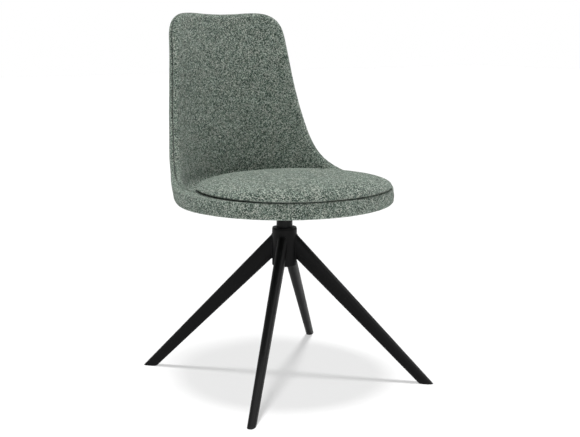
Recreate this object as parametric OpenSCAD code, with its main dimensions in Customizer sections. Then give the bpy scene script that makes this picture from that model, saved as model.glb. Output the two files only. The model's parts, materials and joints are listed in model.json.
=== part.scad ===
// Swivel dining chair: an upholstered one-piece shell with a round cushion, on four splayed legs.
// The front of the chair faces -Y. The legs stand on z = 0, and the seat turns about a vertical axis.

/* [Base] */
// Height of the hub's lower end above the floor
hub_low = 258; // [230:1:300]
// Length of the hub, bush flange included
hub_len = 87; // [75:1:110]
// Outer diameter of the hub
hub_d = 56; // [50:1:65]
// Wall of the hub
hub_wall = 3; // [2:0.5:4]
// Distance from the swivel axis to the toe of each leg
toe_reach = 340; // [300:1:380]
// Length of a leg's flat foot, from toe to heel
foot_len = 32.5; // [24:0.5:36]
// Width of a leg at the foot
foot_w = 17.5; // [15:0.5:22]
// Width of a leg at the hub
leg_w = 24; // [19:0.5:28]
// How far a leg's upper ridge meets the hub below the hub's top
leg_drop = 16; // [8:1:22]
// Height of the joint between a leg and the hub
leg_joint_h = 56; // [46:1:60]
// Wall of a leg
leg_wall = 2; // [1:0.5:3]
// Thickness of a glide's sole
sole_t = 3; // [2:0.5:5]

/* [Swivel] */
// Diameter of the turning column
spindle_d = 36; // [30:0.5:38]
// Diameter of the stud at the column's foot
stud_d = 12; // [10:0.5:16]
// Diameter of a bearing ball
ball_d = 6; // [5:0.5:7]
// Number of bearing balls
ball_count = 12; // [8:1:14]
// Thickness of each bearing race
race_t = 3; // [2.5:0.5:5]
// Thickness of the disc that closes the hub and carries the bearing
floor_t = 5; // [3:0.5:6]
// Length of each guide bush
bush_len = 18; // [12:1:24]
// Thickness of the upper bush's flange
flange_t = 1.5; // [1:0.5:3]

/* [Mounting] */
// Thickness of the mounting plate
plate_t = 4; // [3:0.5:6]
// Spacing of the plate's bolts
bolt_pitch = 140; // [110:1:145]
// Distance from a bolt hole's centre to the plate's edge
plate_margin = 15; // [10:0.5:20]
// Diameter of a plate bolt
bolt_d = 8; // [6:1:10]
// Spacing of the cushion's screws
screw_pitch = 190; // [175:1:210]
// Diameter of a cushion screw
screw_d = 5; // [4:0.5:6]

/* [Seat shell] */
// Width of the seat pan
pan_w = 488; // [450:1:520]
// Depth of the seat pan
pan_d = 488; // [460:1:520]
// How far the pan's centre lies behind the swivel axis
pan_behind = 2.8; // [0:0.1:8]
// Height of the pan's underside above the floor
pan_low = 402; // [385:1:430]
// Height of the pan's rim
rim_h = 36; // [30:1:46]
// Thickness of the upholstered edge of the back
edge_t = 26; // [20:1:34]
// Height of the back above the pan's rim
back_rise = 382; // [340:1:430]
// Thickness of the moulded core
core_t = 6; // [4:0.5:8]
// Thickness of the padding under the pan
base_pad = 6; // [4:0.5:10]
// Extra padding in the middle of the back, on each side of the core
back_fill = 3; // [0:0.5:8]
// Radius of the hollow between the seat and the wings
hollow_r = 42; // [30:1:46]
// Radius of the hollow between the seat and the back
rear_hollow_r = 14; // [10:1:30]

/* [Seat cushion] */
// Width of the cushion at its seam
cushion_w = 432; // [410:1:440]
// Depth of the cushion at its seam
cushion_d = 412; // [400:1:435]
// How far the cushion's centre lies in front of the swivel axis
cushion_ahead = 37.5; // [30:0.5:42]
// Height of the cushion's crown above its seam
crown_h = 32; // [24:1:45]
// Share of the crown's height that it gains at the front and loses at the back
crown_lean_share = 0.29; // [0:0.01:0.4]
// Height of the cushion's sides below the seam
skirt_h = 2; // [1:0.5:4]
// Thickness of the cushion's board
board_t = 8; // [6:0.5:12]

/* [Hidden] */

// Clearances and small sizes
fit_gap = 0.05;
run_gap = 0.08;
seat_gap = 0.3;
soft_gap = 0.2;
over = 1;
edge_round = 2.2;
arc_steps = 4;

// Hub
hub_r = hub_d / 2;
bore_r = hub_r - hub_wall;
hub_top = hub_low + hub_len;
tube_top = hub_top - flange_t;

// Thrust bearing, from the bottom up
floor_lift = 8.5;
floor_low = hub_low + floor_lift;
race_low = floor_low + floor_t;
ball_r = ball_d / 2;
groove_depth = 0.37 * ball_r;
groove_r = ball_r + run_gap;
ball_z = race_low + race_t + groove_r - groove_depth;
upper_race_low = ball_z + groove_r - groove_depth;
shoulder_z = upper_race_low + race_t;
spindle_r = spindle_d / 2;
stud_r = stud_d / 2;
race_out = bore_r - hub_wall;
race_in = stud_r + hub_wall / 3;
pitch_r = spindle_r * 0.92;

// Retaining washer and clip, from the hub's floor down
washer_t = floor_t * 0.36;
washer_top = floor_low - seat_gap;
washer_r = stud_r * 2;
clip_t = washer_t * 0.6;
clip_top = washer_top - washer_t - run_gap;
clip_groove = stud_r * 0.14;
clip_r = stud_r * 1.5;
stud_low = clip_top - clip_t - stud_r * 0.3;

// Hub cap
cap_t = hub_wall * 2 / 3;
cap_low = hub_low + hub_wall / 6;
cap_skirt = floor_low - cap_low - cap_t - seat_gap;

// Legs: the two ridges of a leg are straight lines from the hub to the floor
ridge_top = hub_top - leg_drop;
ridge_low = ridge_top - leg_joint_h;
heel_reach = toe_reach - foot_len;
leg_bulge_share = 0.8;
leg_sides = 32;
weld_gap = 0.2;
plug_h = 5 * sole_t;
leg_names = ["front_left", "front_right", "rear_left", "rear_right"];

// Plate and its fixings
plate_top = pan_low;
plate_low = plate_top - plate_t;
plate_w = bolt_pitch + 2 * plate_margin;
plate_corner = plate_w / 10;
boss_r = spindle_r * 1.7;
boss_h = plate_t * 2.5;
bolt_r = bolt_d / 2;
hole_gap = bolt_r / 8;
head_r = bolt_r * 1.6;
head_h = bolt_r * 1.1;
washer_out = bolt_r * 2.1;
bolt_washer_t = bolt_r * 0.35;
nut_barrel = bolt_r * 1.3;
nut_flange = bolt_r * 2.3;
nut_flange_t = bolt_r * 0.35;
screw_r = screw_d / 2;
screw_head_r = screw_r * 2;
screw_head_h = screw_r * 1.2;
pilot_gap = screw_r / 10;

// Shell heights
rim_top = pan_low + rim_h;
core_low = pan_low + base_pad;
core_top = core_low + core_t;
core_mid = core_low + core_t / 2;
inner_floor = rim_top - seat_gap;
wide_z = pan_low + rim_h / 6;
half_edge = edge_t / 2;
pan_a = pan_w / 2 - half_edge;
pan_b = pan_d / 2 - half_edge;

// Level sections of the shell's middle surface. Each row holds, in shares: the height above the rim
// over the back's rise, the half width and the half depth over the pan's, and the reach to the rear.
section_shares = [
    [-0.1, 1, 1, 1],
    [-0.066, 1, 1, 1],
    [0.005, 1.02, 1.025, 1.02],
    [0.06, 1.045, 1.05, 1.03],
    [0.11, 1.085, 1.085, 1.04],
    [0.16, 1.115, 1.115, 1.055],
    [0.27, 1.16, 1.155, 1.075],
    [0.42, 1.2, 1.2, 1.11],
    [0.58, 1.235, 1.235, 1.135],
    [0.74, 1.29, 1.29, 1.155],
    [0.9, 1.365, 1.365, 1.19],
    [1, 1.41, 1.41, 1.215]];

// The edge all the way round, as directions seen from above, counted from the rear. Each row holds
// the angle, the edge's height over the back's rise, and how far it has turned from wing to rim.
edge_shares = [
    [0, 0.989, 0], [7, 0.992, 0], [13, 0.998, 0], [17.5, 0.998, 0], [21.2, 0.989, 0],
    [24.3, 0.969, 0], [26.9, 0.936, 0], [29.1, 0.880, 0], [31.4, 0.775, 0], [35.5, 0.581, 0],
    [39.5, 0.400, 0], [44, 0.252, 0], [49.5, 0.150, 0], [55, 0.095, 0], [61, 0.060, 0.02],
    [67, 0.040, 0.15], [74, 0.026, 0.48], [82, 0.016, 0.84], [92, 0.010, 1], [106, 0.010, 1],
    [121, 0.010, 1], [136, 0.010, 1], [151, 0.010, 1], [166, 0.010, 1], [180, 0.010, 1]];

function mix(a, b, t) = a + (b - a) * t;
function clamp01(t) = min(1, max(0, t));
function ease(t) = let (c = clamp01(t)) c * c * (3 - 2 * c);

// Smooth reading of column c in a table whose first column rises
function row_of(tab, x, i = 0) =
    i >= len(tab) - 2 || x < tab[i + 1][0] ? i : row_of(tab, x, i + 1);
function slope_at(tab, i, c) =
    let (lo = max(0, i - 1), hi = min(len(tab) - 1, i + 1))
    (tab[hi][c] - tab[lo][c]) / (tab[hi][0] - tab[lo][0]);
function read(tab, x, c) =
    let (i = row_of(tab, x),
         w = tab[i + 1][0] - tab[i][0],
         t = clamp01((x - tab[i][0]) / w))
    (2 * pow(t, 3) - 3 * pow(t, 2) + 1) * tab[i][c]
    + (pow(t, 3) - 2 * pow(t, 2) + t) * w * slope_at(tab, i, c)
    + (3 * pow(t, 2) - 2 * pow(t, 3)) * tab[i + 1][c]
    + (pow(t, 3) - pow(t, 2)) * w * slope_at(tab, i + 1, c);

// A point of the shell seen in direction a, at height z, standing out by d from the middle surface
// of the level section at height s
function shell_pt(a, s, d, z) =
    let (t = (s - rim_top) / back_rise,
         half_w = read(section_shares, t, 1) * pan_a,
         half_d = read(section_shares, t, 2) * pan_b,
         rear = pan_behind + read(section_shares, t, 3) * pan_b)
    [(half_w + d) * sin(a), rear - half_d + (half_d + d) * cos(a), z];
// A point of the flat pan, at a share q of the way from its centre to its rim's middle surface
function pan_pt(a, q, z) = [q * pan_a * sin(a), pan_behind + q * pan_b * cos(a), z];
function pole(z) = [0, pan_behind, z];

// A quarter of a rounded corner from p to q round the corner point k; soft is 1 for a round one
function corner(p, k, q, phi, soft) =
    k - (k - p) * (1 - pow(sin(phi), soft)) - (k - q) * (1 - pow(cos(phi), soft));

// The edge, and the root of its rounding: direction and height of the place on the middle surface that
// lies at a distance from the edge, measured square to the edge
last_row = len(edge_shares) - 1;
function tip_z(i) = rim_top + edge_shares[i][1] * back_rise;
function half_width_at(z) = read(section_shares, (z - rim_top) / back_rise, 1) * pan_a;
function along(i, side) =
    let (j = i + side,
         k = abs(j) > last_row ? last_row : abs(j),
         a = (j < 0 ? -1 : 1) * edge_shares[k][0])
    [half_width_at(tip_z(i)) * a * PI / 180, tip_z(k)];
function rooted(i, inset) =
    let (run = along(i, 1) - along(i, -1),
         way = [-run[1], run[0]] / norm(run),
         a = edge_shares[i][0],
         turn = inset * way[0] / half_width_at(tip_z(i)) * 180 / PI)
    [a - turn, tip_z(i) - inset * way[1]];

// Shares of a column's flat part, of its wall and of its corners, where its points lie
flat_share = 0.72;
wall_shares = [0, 0.13, 0.4, 0.7];
core_wall_shares = [0.35, 0.7];
inner_wall_shares = [0.7, 0.35, 0];
round_angles = [90, 60, 30];
core_angles = [90, 40];
cap_angles = [35, 65];

// Small sizes of the shell's section
half_edge_gap = soft_gap / 2;
rim_round_w = 22;
wing_round_w = 12;
low_round_h = wide_z - pan_low;
core_round_w = edge_t * 0.92;
core_setback = edge_t / 13;
tip_inset = edge_t * 0.8;
rim_round = rim_h * 0.34;
rim_soft = 0.62;
lip_top = rim_top - rim_h / 3;
part_inset = edge_t * 0.38;
part_drop = rim_h * 0.22;
fill_span = 45;
hollow_start = 28;
hollow_span = 32;

function rim_share(i) = edge_shares[i][2];
function fill(i, q) = back_fill * sin(180 * clamp01(q)) * ease((fill_span - edge_shares[i][0]) / fill_span);
function wing_pt(a, d, z) = shell_pt(a, max(z, wide_z), d, z);
function rim_pt(a, d, z) = [(pan_a + d) * sin(a), pan_behind + (pan_b + d) * cos(a), z];
function blend(p, q, t) = [for (i = [0 : len(p) - 1]) mix(p[i], q[i], t)];

// Outer side of a column, from near the pan's centre up to just before the edge's tip
function wing_outer(i) =
    let (at = rooted(i, half_edge), a = at[0], z = at[1],
         root = wing_pt(a, 0, z), tip = wing_pt(edge_shares[i][0], 0, tip_z(i)), end = wing_pt(a, half_edge, z))
    concat([for (f = round_angles)
                wing_pt(a, half_edge - wing_round_w * (1 - cos(f)), wide_z - low_round_h * sin(f))],
           [for (q = wall_shares) wing_pt(a, half_edge + fill(i, q), mix(wide_z, z, q))],
           [end],
           [for (f = cap_angles) corner(end, end + tip - root, tip, f, 1)],
           [tip]);
function rim_outer(i) =
    let (a = edge_shares[i][0], low = inner_floor - rim_round,
         end = rim_pt(a, half_edge, low), k = rim_pt(a, half_edge, inner_floor),
         tip = rim_pt(a, -tip_inset, inner_floor))
    concat([for (f = round_angles)
                rim_pt(a, half_edge - rim_round_w * (1 - cos(f)), wide_z - low_round_h * sin(f))],
           [for (q = wall_shares) rim_pt(a, half_edge, mix(wide_z, low, q))],
           [end],
           [for (f = cap_angles) corner(end, k, tip, f, rim_soft)],
           [tip]);

// Inner side of a column, from just after the edge's tip down to the pan
function wing_inner(i) =
    let (at = rooted(i, half_edge), a = at[0], z = at[1],
         root = wing_pt(a, 0, z), tip = wing_pt(edge_shares[i][0], 0, tip_z(i)), end = wing_pt(a, -half_edge, z),
         hollow = mix(rear_hollow_r, hollow_r, ease((a - hollow_start) / hollow_span)),
         rise = min(hollow, (z - inner_floor) * 0.85), low = inner_floor + rise,
         foot = wing_pt(a, -half_edge, low), k = wing_pt(a, -half_edge, inner_floor),
         pan = wing_pt(a, -half_edge - rise, inner_floor))
    concat([for (n = [len(cap_angles) - 1 : -1 : 0]) corner(end, end + tip - root, tip, cap_angles[n], 1)],
           [end],
           [for (q = inner_wall_shares) wing_pt(a, -half_edge - fill(i, q), mix(low, z, q))],
           [for (n = [len(round_angles) - 1 : -1 : 0]) corner(foot, k, pan, round_angles[n], 1)]);
function rim_inner(i) =
    let (a = edge_shares[i][0], n = len(cap_angles) + 1 + len(inner_wall_shares) + len(round_angles))
    [for (m = [1 : n]) rim_pt(a, mix(-tip_inset, -half_edge - hollow_r, m / n), inner_floor)];

// One face of the core, or of the padding that lies on it, at a distance o outside its middle, from the
// pan's flat part up to the core's edge
function wing_core(i, o) =
    let (at = rooted(i, half_edge + core_setback), a = at[0], z = at[1],
         rise = min(core_round_w, (z - core_mid) * 0.6), low = core_mid + rise)
    concat([for (f = core_angles)
                wing_pt(a, -core_round_w + (core_round_w + o) * cos(f), low - (rise + o) * sin(f))],
           [for (q = concat([0], core_wall_shares, [1])) wing_pt(a, o, mix(low, z, q))]);
function rim_core(i, o) =
    let (a = edge_shares[i][0], rise = (lip_top - core_mid) * 0.6, low = core_mid + rise)
    concat([for (f = core_angles)
                rim_pt(a, -core_round_w + (core_round_w + o) * cos(f), low - (rise + o) * sin(f))],
           [for (q = concat([0], core_wall_shares, [1])) rim_pt(a, o, mix(low, lip_top, q))]);

// Where the outer and the inner padding part, between the core's edge and the seam
function parting(i, o) =
    let (at = rooted(i, half_edge))
    mix(wing_pt(at[0], o, at[1]), rim_pt(edge_shares[i][0], o - part_inset, rim_top - part_drop), rim_share(i));
function seam_pt(i, o) =
    mix(wing_pt(edge_shares[i][0], o, tip_z(i)), rim_pt(edge_shares[i][0], o - tip_inset, inner_floor),
        rim_share(i));

function flat_pt(i, z) =
    let (a = mix(rooted(i, half_edge)[0], edge_shares[i][0], rim_share(i)))
    pan_pt(a, flat_share, z);
function outer_side(i) = blend(wing_outer(i), rim_outer(i), rim_share(i));
function inner_side(i) = blend(wing_inner(i), rim_inner(i), rim_share(i));
function core_side(i, o) = blend(wing_core(i, o), rim_core(i, o), rim_share(i));
function reversed(v) = [for (i = [len(v) - 1 : -1 : 0]) v[i]];
function most(v) = len(v) - 1;

// Whole columns of the three layers, each from its lower centre, round its edge, to its upper centre
pad_core = core_t / 2 + soft_gap;
function outer_column(i) =
    let (side = outer_side(i))
    concat([pole(pan_low), flat_pt(i, pan_low)],
           [for (k = [0 : most(side) - 1]) side[k]],
           [seam_pt(i, half_edge_gap), parting(i, half_edge_gap)],
           reversed(core_side(i, pad_core)),
           [flat_pt(i, core_mid - pad_core), pole(core_mid - pad_core)]);
function core_column(i) =
    concat([pole(core_low), flat_pt(i, core_low)],
           core_side(i, core_t / 2),
           reversed(core_side(i, -core_t / 2)),
           [flat_pt(i, core_top), pole(core_top)]);
function inner_column(i) =
    concat([pole(core_mid + pad_core), flat_pt(i, core_mid + pad_core)],
           core_side(i, -pad_core),
           [parting(i, -half_edge_gap), seam_pt(i, -half_edge_gap)],
           inner_side(i),
           [flat_pt(i, inner_floor), pole(inner_floor)]);

// A closed solid from columns that stand side by side round an axis and share their two ends. Its walls'
// diagonals change over at a ring, so that faces that lie on each other have the same ones.
function flipped(p) = [-p[0], p[1], p[2]];
function both_halves(half) =
    concat(half, [for (i = [len(half) - 2 : -1 : 1]) [for (p = half[i]) flipped(p)]]);
module loft(columns, turn) {
    m = len(columns);
    n = len(columns[0]);
    points = concat([columns[0][0]],
                    [for (k = [1 : n - 2]) for (j = [0 : m - 1]) columns[j][k]],
                    [columns[0][n - 1]]);
    function at(k, j) = 1 + (k - 1) * m + j % m;
    last = len(points) - 1;
    ends = [for (j = [0 : m - 1]) each [[0, at(1, j + 1), at(1, j)], [last, at(n - 2, j), at(n - 2, j + 1)]]];
    walls = [for (k = [1 : n - 3]) for (j = [0 : m - 1])
        let (p = at(k, j), q = at(k, j + 1), r = at(k + 1, j), s = at(k + 1, j + 1))
        each (j < m / 2) == (k < turn) ? [[s, r, p], [s, p, q]] : [[s, r, q], [r, p, q]]];
    polyhedron(points = points, faces = concat(ends, walls));
}
columns_of_shell = [0 : last_row];
core_turn = 1 + len(core_side(0, 0));
outer_turn = 2 + len(outer_side(0));
inner_turn = core_turn + 1;

// The cushion, in columns round its own centre
cushion_a = cushion_w / 2;
cushion_b = cushion_d / 2;
seam_z = rim_top + skirt_h;
crown_shares = [0.985, 0.94, 0.86, 0.74, 0.58, 0.34];
crown_power = 2.8;
cushion_sides = 56;
tuck_share = 0.985;
function crown_z(q, a) =
    seam_z + crown_h * pow(1 - pow(q, 2), 1 / crown_power) * (1 + crown_lean_share * q * cos(a));
function cushion_pt(q, a, z) = [q * cushion_a * sin(a), -cushion_ahead - q * cushion_b * cos(a), z];
function cushion_column(a) =
    concat([[0, -cushion_ahead, rim_top], cushion_pt(flat_share, a, rim_top), cushion_pt(tuck_share, a, rim_top),
            cushion_pt(1, a, seam_z)],
           [for (q = crown_shares) cushion_pt(q, a, crown_z(q, a))],
           [[0, -cushion_ahead, crown_z(0, a)]]);
board_r = min(cushion_a, cushion_b) * 0.92;

// The origin lies under the middle of the whole chair, so the swivel axis stands a little in front of it
shell_reach = max([for (i = columns_of_shell) for (p = outer_column(i)) p[1]]);
front_reach = max(cushion_ahead + cushion_b, pan_d / 2 - pan_behind);
axis_y = -(shell_reach - front_reach) / 2;
echo(axis_y = axis_y, shell_reach = shell_reach, front_reach = front_reach);
module placed() translate([0, axis_y, 0]) children();

// Base

function arc(centre, r, a0, a1) =
    [for (n = [0 : arc_steps])
        let (a = mix(a0, a1, n / arc_steps)) centre + r * [cos(a), sin(a)]];

module hub_tube() placed() color("#1a1b1c")
    rotate_extrude($fn = 96) polygon(concat(
        [[bore_r, hub_low], [bore_r, tube_top]],
        arc([hub_r - edge_round, tube_top - edge_round], edge_round, 90, 0),
        arc([hub_r - edge_round, hub_low + edge_round], edge_round, 0, -90)));

// A level section of a leg, seen along its own direction, at height z and drawn in by an inset
function ridge_at(z) = mix(toe_reach, hub_r, z / ridge_top);
function heel_at(z) = mix(heel_reach, hub_r, z / ridge_low);
function width_at(z) = mix(foot_w, leg_w, z / ridge_top);
function leg_ring(z, inset) =
    let (out = ridge_at(z) - inset * sqrt(2), in = heel_at(z) + inset * sqrt(2), w = width_at(z) / 2 - inset)
    [for (n = [0 : leg_sides - 1])
        let (a = 360 * n / leg_sides, c = cos(a), s = sin(a))
        [(out + in) / 2 + (out - in) / 2 * sign(c) * pow(abs(c), leg_bulge_share),
         w * sign(s) * pow(abs(s), leg_bulge_share), z]];
module leg_solid(z0, z1, inset) {
    n = leg_sides;
    polyhedron(points = concat(leg_ring(z0, inset), leg_ring(z1, inset)),
               faces = concat([[for (i = [0 : n - 1]) i]], [[for (i = [n - 1 : -1 : 0]) n + i]],
                              [for (i = [0 : n - 1]) let (j = (i + 1) % n) each [[i, n + i, j], [j, n + i, n + j]]]));
}
module toward(side, end) rotate([0, 0, end > 0 ? 90 - 45 * side : -90 + 45 * side]) children();
module leg(side, end) placed() color("#1a1b1c") toward(side, end)
    difference() {
        leg_solid(sole_t, ridge_top, 0);
        leg_solid(sole_t - over, ridge_top + over, leg_wall);
        cylinder(h = hub_top, r = hub_r + weld_gap, $fn = 96);
        translate([-hub_d, -hub_r, 0]) cube([hub_d, hub_d, hub_top]);
    }
module glide(side, end) placed() color("#101010") toward(side, end) {
    leg_solid(0, sole_t, 0);
    leg_solid(sole_t, sole_t + plug_h, leg_wall + soft_gap);
}
module leg_front_left() leg(-1, -1);
module leg_front_right() leg(1, -1);
module leg_rear_left() leg(-1, 1);
module leg_rear_right() leg(1, 1);
module glide_front_left() glide(-1, -1);
module glide_front_right() glide(1, -1);
module glide_rear_left() glide(-1, 1);
module glide_rear_right() glide(1, 1);

module ring(out, in, low, high) difference() {
    translate([0, 0, low]) cylinder(h = high - low, r = out, $fn = 96);
    translate([0, 0, low - over]) cylinder(h = high - low + 2 * over, r = in, $fn = 96);
}
module upper_bush() placed() color("#0d0d0d") {
    ring(bore_r - fit_gap, spindle_r + run_gap, tube_top - bush_len, tube_top);
    ring(hub_r - edge_round / 2, spindle_r + run_gap, tube_top, hub_top);
}
module lower_bush() placed() color("#0d0d0d")
    ring(bore_r - fit_gap, spindle_r + run_gap, shoulder_z + floor_t, shoulder_z + floor_t + bush_len);
module hub_floor() placed() color("#55585c")
    ring(bore_r - fit_gap, race_in, floor_low, race_low);
module hub_cap() placed() color("#0d0d0d") {
    translate([0, 0, cap_low]) cylinder(h = cap_t, r = bore_r - fit_gap, $fn = 96);
    ring(bore_r - fit_gap, bore_r - hub_wall, cap_low + cap_t, cap_low + cap_t + cap_skirt);
}

// Thrust bearing

module race(low, groove_z) placed() color("#a9adb1")
    rotate_extrude($fn = 96) difference() {
        translate([race_in, low]) square([race_out - race_in, race_t]);
        translate([pitch_r, groove_z]) circle(r = groove_r, $fn = 32);
    }
module bearing_lower_race() race(race_low, ball_z);
module bearing_upper_race() race(upper_race_low, ball_z);
module round_the_pitch() for (n = [0 : ball_count - 1])
    rotate([0, 0, 360 * n / ball_count]) translate([pitch_r, 0, ball_z]) children();
module bearing_balls() placed() color("#c9cccf")
    round_the_pitch() sphere(r = ball_r, $fn = 24);
module bearing_cage() placed() color("#c8b98a") difference() {
    ring(pitch_r + ball_r * 1.4, pitch_r - ball_r * 1.4, ball_z - ball_r / 4, ball_z + ball_r / 4);
    round_the_pitch() cylinder(h = ball_d, r = groove_r + run_gap, center = true, $fn = 32);
}

// Turning column

module spindle() placed() color("#151617") {
    translate([0, 0, shoulder_z]) cylinder(h = plate_low - shoulder_z, r = spindle_r, $fn = 96);
    difference() {
        translate([0, 0, stud_low]) cylinder(h = shoulder_z - stud_low, r = stud_r, $fn = 48);
        ring(stud_r + over, stud_r - clip_groove, clip_top - clip_t - run_gap, clip_top + run_gap);
    }
}
module retaining_washer() placed() color("#8d9196")
    ring(washer_r, stud_r + run_gap, washer_top - washer_t, washer_top);
module retaining_clip() placed() color("#8d9196") difference() {
    ring(clip_r, stud_r - clip_groove + run_gap, clip_top - clip_t, clip_top);
    translate([0, -stud_r * 0.5, clip_top - clip_t - over]) cube([clip_r + over, stud_r, clip_t + 2 * over]);
}

// Mounting plate and its fixings

module at_corners(pitch, ahead) for (x = [-1, 1], y = [-1, 1])
    translate([x * pitch / 2, y * pitch / 2 - ahead, 0]) children();
module mounting_plate() placed() color("#1c1d1f") difference() {
    union() {
        translate([0, 0, plate_low]) linear_extrude(plate_t) {
            square([plate_w - 2 * plate_corner, plate_w], center = true);
            square([plate_w, plate_w - 2 * plate_corner], center = true);
            for (x = [-1, 1], y = [-1, 1])
                translate([x, y] * (plate_w / 2 - plate_corner)) circle(r = plate_corner, $fn = 48);
        }
        translate([0, 0, plate_low - boss_h])
            cylinder(h = boss_h, r1 = spindle_r + plate_t / 2, r2 = boss_r, $fn = 96);
    }
    translate([0, 0, plate_low - boss_h - over])
        cylinder(h = boss_h + over, r = spindle_r + fit_gap, $fn = 96);
    at_corners(bolt_pitch, 0)
        translate([0, 0, plate_low - over]) cylinder(h = plate_t + 2 * over, r = bolt_r + hole_gap, $fn = 32);
}
bolt_top = core_top + nut_flange_t + bolt_r / 2;
module plate_bolts() placed() color("#2a2b2d") at_corners(bolt_pitch, 0) {
    translate([0, 0, plate_low - bolt_washer_t]) cylinder(h = bolt_top - plate_low + bolt_washer_t, r = bolt_r, $fn = 32);
    translate([0, 0, plate_low - bolt_washer_t - head_h]) difference() {
        cylinder(h = head_h, r1 = head_r * 0.75, r2 = head_r, $fn = 32);
        translate([0, 0, -over]) cylinder(h = head_h / 2 + over, r = bolt_r / 2, $fn = 6);
    }
}
module plate_washers() placed() color("#8d9196") at_corners(bolt_pitch, 0)
    ring(washer_out, bolt_r + hole_gap, plate_low - bolt_washer_t, plate_low);
module tee_nuts() placed() color("#b3a06a") at_corners(bolt_pitch, 0) {
    ring(nut_barrel, bolt_r + fit_gap, core_low + core_t / 6, core_top);
    ring(nut_flange, bolt_r + fit_gap, core_top, core_top + nut_flange_t);
}

// Shell

module shell_core() placed() color("#c9a878") difference() {
    loft(both_halves([for (i = columns_of_shell) core_column(i)]), core_turn);
    at_corners(bolt_pitch, 0) translate([0, 0, core_low - over])
        cylinder(h = core_t + 2 * over, r = nut_barrel + fit_gap, $fn = 32);
    at_corners(screw_pitch / sqrt(2), cushion_ahead) translate([0, 0, core_low - over]) {
        cylinder(h = core_t + 2 * over, r = screw_r + hole_gap, $fn = 24);
        cylinder(h = screw_head_h + over, r = screw_head_r + soft_gap, $fn = 24);
    }
}
module outer_pad() placed() color("#7d8a7f") difference() {
    loft(both_halves([for (i = columns_of_shell) outer_column(i)]), outer_turn);
    at_corners(bolt_pitch, 0) translate([0, 0, pan_low - over])
        cylinder(h = base_pad + 2 * over, r = bolt_r + hole_gap, $fn = 24);
}
module inner_pad() placed() color("#8b978c") difference() {
    loft(both_halves([for (i = columns_of_shell) inner_column(i)]), inner_turn);
    at_corners(bolt_pitch, 0) translate([0, 0, core_top - over])
        cylinder(h = bolt_top - core_top + over + soft_gap, r = nut_flange + soft_gap, $fn = 24);
    at_corners(screw_pitch / sqrt(2), cushion_ahead) translate([0, 0, core_top - over])
        cylinder(h = rim_top - core_top + 2 * over, r = screw_r + hole_gap, $fn = 24);
}

// Seat cushion

module cushion_board() placed() color("#b98f5c") translate([0, -cushion_ahead, 0]) difference() {
    translate([0, 0, rim_top]) cylinder(h = board_t, r = board_r, $fn = 96);
    at_corners(screw_pitch / sqrt(2), 0) translate([0, 0, rim_top - over])
        cylinder(h = over + board_t * 0.75, r = screw_r + pilot_gap, $fn = 32);
}
module seat_cushion() placed() color("#8f9b90") difference() {
    loft([for (n = [0 : cushion_sides - 1]) cushion_column(180 + 360 * n / cushion_sides)], cushion_sides);
    translate([0, -cushion_ahead, rim_top - over]) cylinder(h = board_t + over + soft_gap, r = board_r + soft_gap, $fn = 96);
}
module cushion_screws() placed() color("#8d9196")
    at_corners(screw_pitch / sqrt(2), cushion_ahead) {
        translate([0, 0, core_low + screw_head_h])
            cylinder(h = rim_top + board_t * 0.7 - core_low - screw_head_h, r = screw_r, $fn = 24);
        translate([0, 0, core_low]) cylinder(h = screw_head_h, r = screw_head_r, $fn = 24);
    }

hub_tube();
leg_front_left();
leg_front_right();
leg_rear_left();
leg_rear_right();
glide_front_left();
glide_front_right();
glide_rear_left();
glide_rear_right();
upper_bush();
lower_bush();
hub_floor();
bearing_lower_race();
hub_cap();
bearing_cage();
bearing_balls();
spindle();
bearing_upper_race();
retaining_washer();
retaining_clip();
mounting_plate();
plate_bolts();
plate_washers();
tee_nuts();
shell_core();
outer_pad();
inner_pad();
cushion_board();
seat_cushion();
cushion_screws();
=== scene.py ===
import bpy, bmesh, json
from math import sin, cos, exp, pi, radians, degrees, atan2, hypot
from mathutils import Vector, Matrix, noise


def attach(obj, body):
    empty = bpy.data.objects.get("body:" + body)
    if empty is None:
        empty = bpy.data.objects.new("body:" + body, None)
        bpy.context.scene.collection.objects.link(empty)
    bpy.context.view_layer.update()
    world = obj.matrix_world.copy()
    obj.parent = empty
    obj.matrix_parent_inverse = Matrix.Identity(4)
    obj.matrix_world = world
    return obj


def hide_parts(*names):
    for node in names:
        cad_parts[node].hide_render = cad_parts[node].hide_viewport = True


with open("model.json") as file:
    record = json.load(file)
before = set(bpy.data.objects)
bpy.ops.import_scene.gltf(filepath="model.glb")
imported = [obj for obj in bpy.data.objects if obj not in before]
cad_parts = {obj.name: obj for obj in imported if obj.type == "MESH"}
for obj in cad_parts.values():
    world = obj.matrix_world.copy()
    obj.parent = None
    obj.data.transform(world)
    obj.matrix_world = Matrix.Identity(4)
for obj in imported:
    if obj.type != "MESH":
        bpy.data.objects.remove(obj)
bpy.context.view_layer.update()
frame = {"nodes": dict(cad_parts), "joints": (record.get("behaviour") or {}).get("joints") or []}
nodes = frame["nodes"]
swivel = [j for j in frame["joints"] if j["name"] == "seat_swivel"][0]["pos_m"]
axis_y = swivel[1]


# Camera. The photograph is taken from the front left, a little above the seat, with a lens of about
# 63 mm on a 36 mm frame that is 580 by 437 pixels large.
view_heading = radians(-33.57)
view_dip = radians(10.594)
lens = bpy.data.cameras.new("camera")
lens.sensor_width = 36
lens.lens = 63.13
camera = bpy.data.objects.new("camera", lens)
camera.location = (-1.2285, -1.8734 + axis_y, 0.7829)
camera.rotation_euler = (pi / 2 - view_dip, 0, view_heading)
bpy.context.scene.collection.objects.link(camera)
bpy.context.scene.camera = camera


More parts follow.
